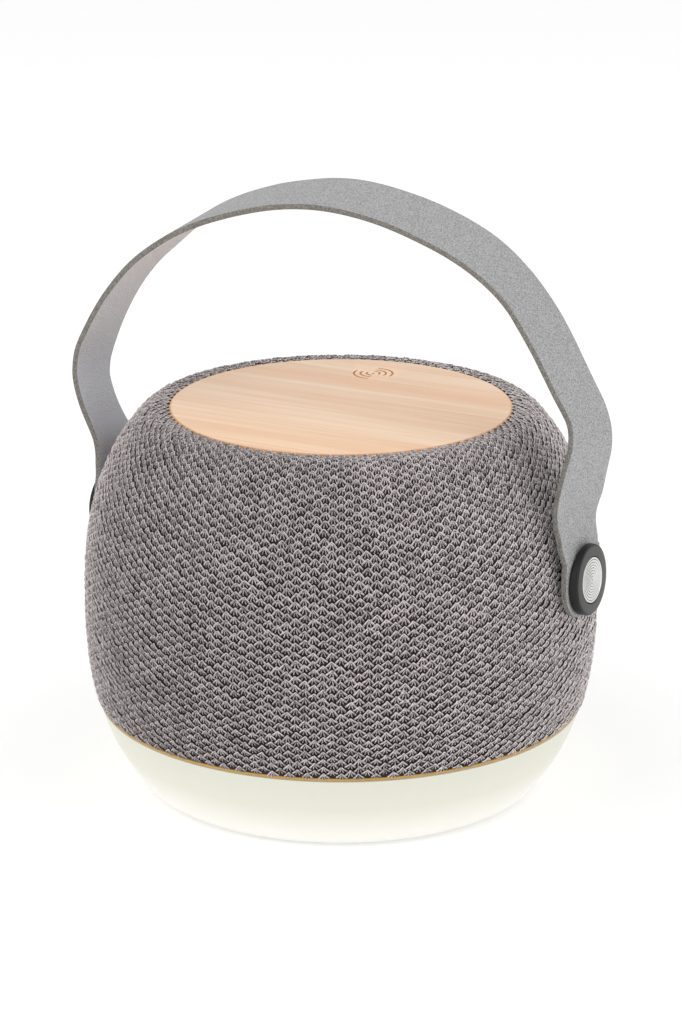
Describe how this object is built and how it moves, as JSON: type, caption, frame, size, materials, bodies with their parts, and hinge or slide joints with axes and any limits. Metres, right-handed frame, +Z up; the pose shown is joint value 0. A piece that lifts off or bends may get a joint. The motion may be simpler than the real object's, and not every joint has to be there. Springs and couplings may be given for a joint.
{
  "type": "portable bluetooth speaker",
  "caption": "Round portable speaker with a knitted sleeve, bamboo charging top, milky lamp base, swinging carrying strap, rear buttons and a rubber port flap.",
  "frame": {"origin": "centre of the base, on the surface that the foot stands on", "axes": "+Z up; +X along the strap's pivot axis; -Y to the front, where the driver is; +Y to the rear control panel"},
  "size_m": [0.1436, 0.1305, 0.154],
  "materials": {
    "fabric_grey": "knitted polyester, bird's-eye stitch",
    "bamboo": "sanded and clear-lacquered",
    "diffuser_white": "milky translucent, matt",
    "led_white": "light-emitting diode package",
    "amber_trim": "translucent edge",
    "spider_cloth": "varnished corrugated cloth",
    "black_plastic": "fine moulded texture",
    "grey_plastic": "fine moulded texture",
    "ring_plastic": "satin moulded",
    "white_plastic": "fine moulded texture",
    "rubber": "soft, matt",
    "strap_leather": "fine-grained grey synthetic leather",
    "steel": "plated",
    "brass": "turned, knurled",
    "spun_silver": "spun in concentric rings",
    "ferrite_dark": "sintered",
    "copper": null,
    "board_green": "solder-masked board",
    "cell_wrap": null,
    "cone_paper": "coated pulp"
  },
  "bodies": {
    "body": {"aux_socket": "black_plastic", "barrel": "black_plastic", "base_plate": "white_plastic", "base_screw_1": "steel", "base_screw_2": "steel", "base_screw_3": "steel", "battery_cell": "cell_wrap", "battery_cradle": "grey_plastic", "charger_board": "board_green", "charging_coil": "copper", "control_board": "board_green", "control_panel": "grey_plastic", "diffuser": "diffuser_white", "dome_mat": "rubber", "driver_frame": "steel", "driver_magnet": "ferrite_dark", "driver_screw_1": "steel", "driver_screw_2": "steel", "driver_screw_3": "steel", "driver_screw_4": "steel", "driver_spider": "spider_cloth", "driver_surround": "rubber", "driver_top_plate": "steel", "driver_yoke": "steel", "fabric_cover": "fabric_grey", "ferrite_sheet": "ferrite_dark", "floor_plate": "white_plastic", "foot_ring": "rubber", "hub_cap_left": "spun_silver", "hub_cap_right": "spun_silver", "hub_ring_left": "ring_plastic", "hub_ring_right": "ring_plastic", "led_1": "led_white", "led_2": "led_white", "led_3": "led_white", "led_4": "led_white", "light_board": "board_green", "main_board": "board_green", "pivot_insert_left": "brass", "pivot_insert_right": "brass", "pivot_screw_left": "steel", "pivot_screw_right": "steel", "pivot_spacer_left": "steel", "pivot_spacer_right": "steel", "seam_ring": "amber_trim", "top_deck": "black_plastic", "top_disc": "bamboo", "usb_socket": "steel"},
    "handle": {"handle_strap": "strap_leather", "strap_eyelet_left": "steel", "strap_eyelet_right": "steel"},
    "cone": {"driver_cone": "cone_paper", "voice_coil": "copper", "dust_cap": "cone_paper"},
    "flap": {"port_flap": "rubber"},
    "button_light": {"button_light": "black_plastic"},
    "button_minus": {"button_minus": "black_plastic"},
    "button_play": {"button_play": "black_plastic"},
    "button_plus": {"button_plus": "black_plastic"},
    "button_power": {"button_power": "black_plastic"}
  },
  "joints": [
    {"name": "handle_swing", "type": "hinge", "parent": "body", "child": "handle", "pos_m": [0, 0, 0.0629], "axis": [1, 0, 0], "range_deg": [-110, 90]},
    {"name": "cone_travel", "type": "slide", "parent": "body", "child": "cone", "axis": [0, -1, 0], "range_m": [-0.0015, 0.0015], "stiffness_N_per_m": 1600},
    {"name": "flap_hinge", "type": "hinge", "parent": "body", "child": "flap", "pos_m": [0, 0.0648, 0.0366], "axis": [-1, 0, 0], "range_deg": [0, 110]},
    {"name": "button_light_press", "type": "slide", "parent": "body", "child": "button_light", "axis": [0, -1, 0], "range_m": [0, 0.0008], "stiffness_N_per_m": 1500},
    {"name": "button_minus_press", "type": "slide", "parent": "body", "child": "button_minus", "axis": [0, -1, 0], "range_m": [0, 0.0008], "stiffness_N_per_m": 1500},
    {"name": "button_play_press", "type": "slide", "parent": "body", "child": "button_play", "axis": [0, -1, 0], "range_m": [0, 0.0008], "stiffness_N_per_m": 1500},
    {"name": "button_plus_press", "type": "slide", "parent": "body", "child": "button_plus", "axis": [0, -1, 0], "range_m": [0, 0.0008], "stiffness_N_per_m": 1500},
    {"name": "button_power_press", "type": "slide", "parent": "body", "child": "button_power", "axis": [0, -1, 0], "range_m": [0, 0.0008], "stiffness_N_per_m": 1500}
  ]
}
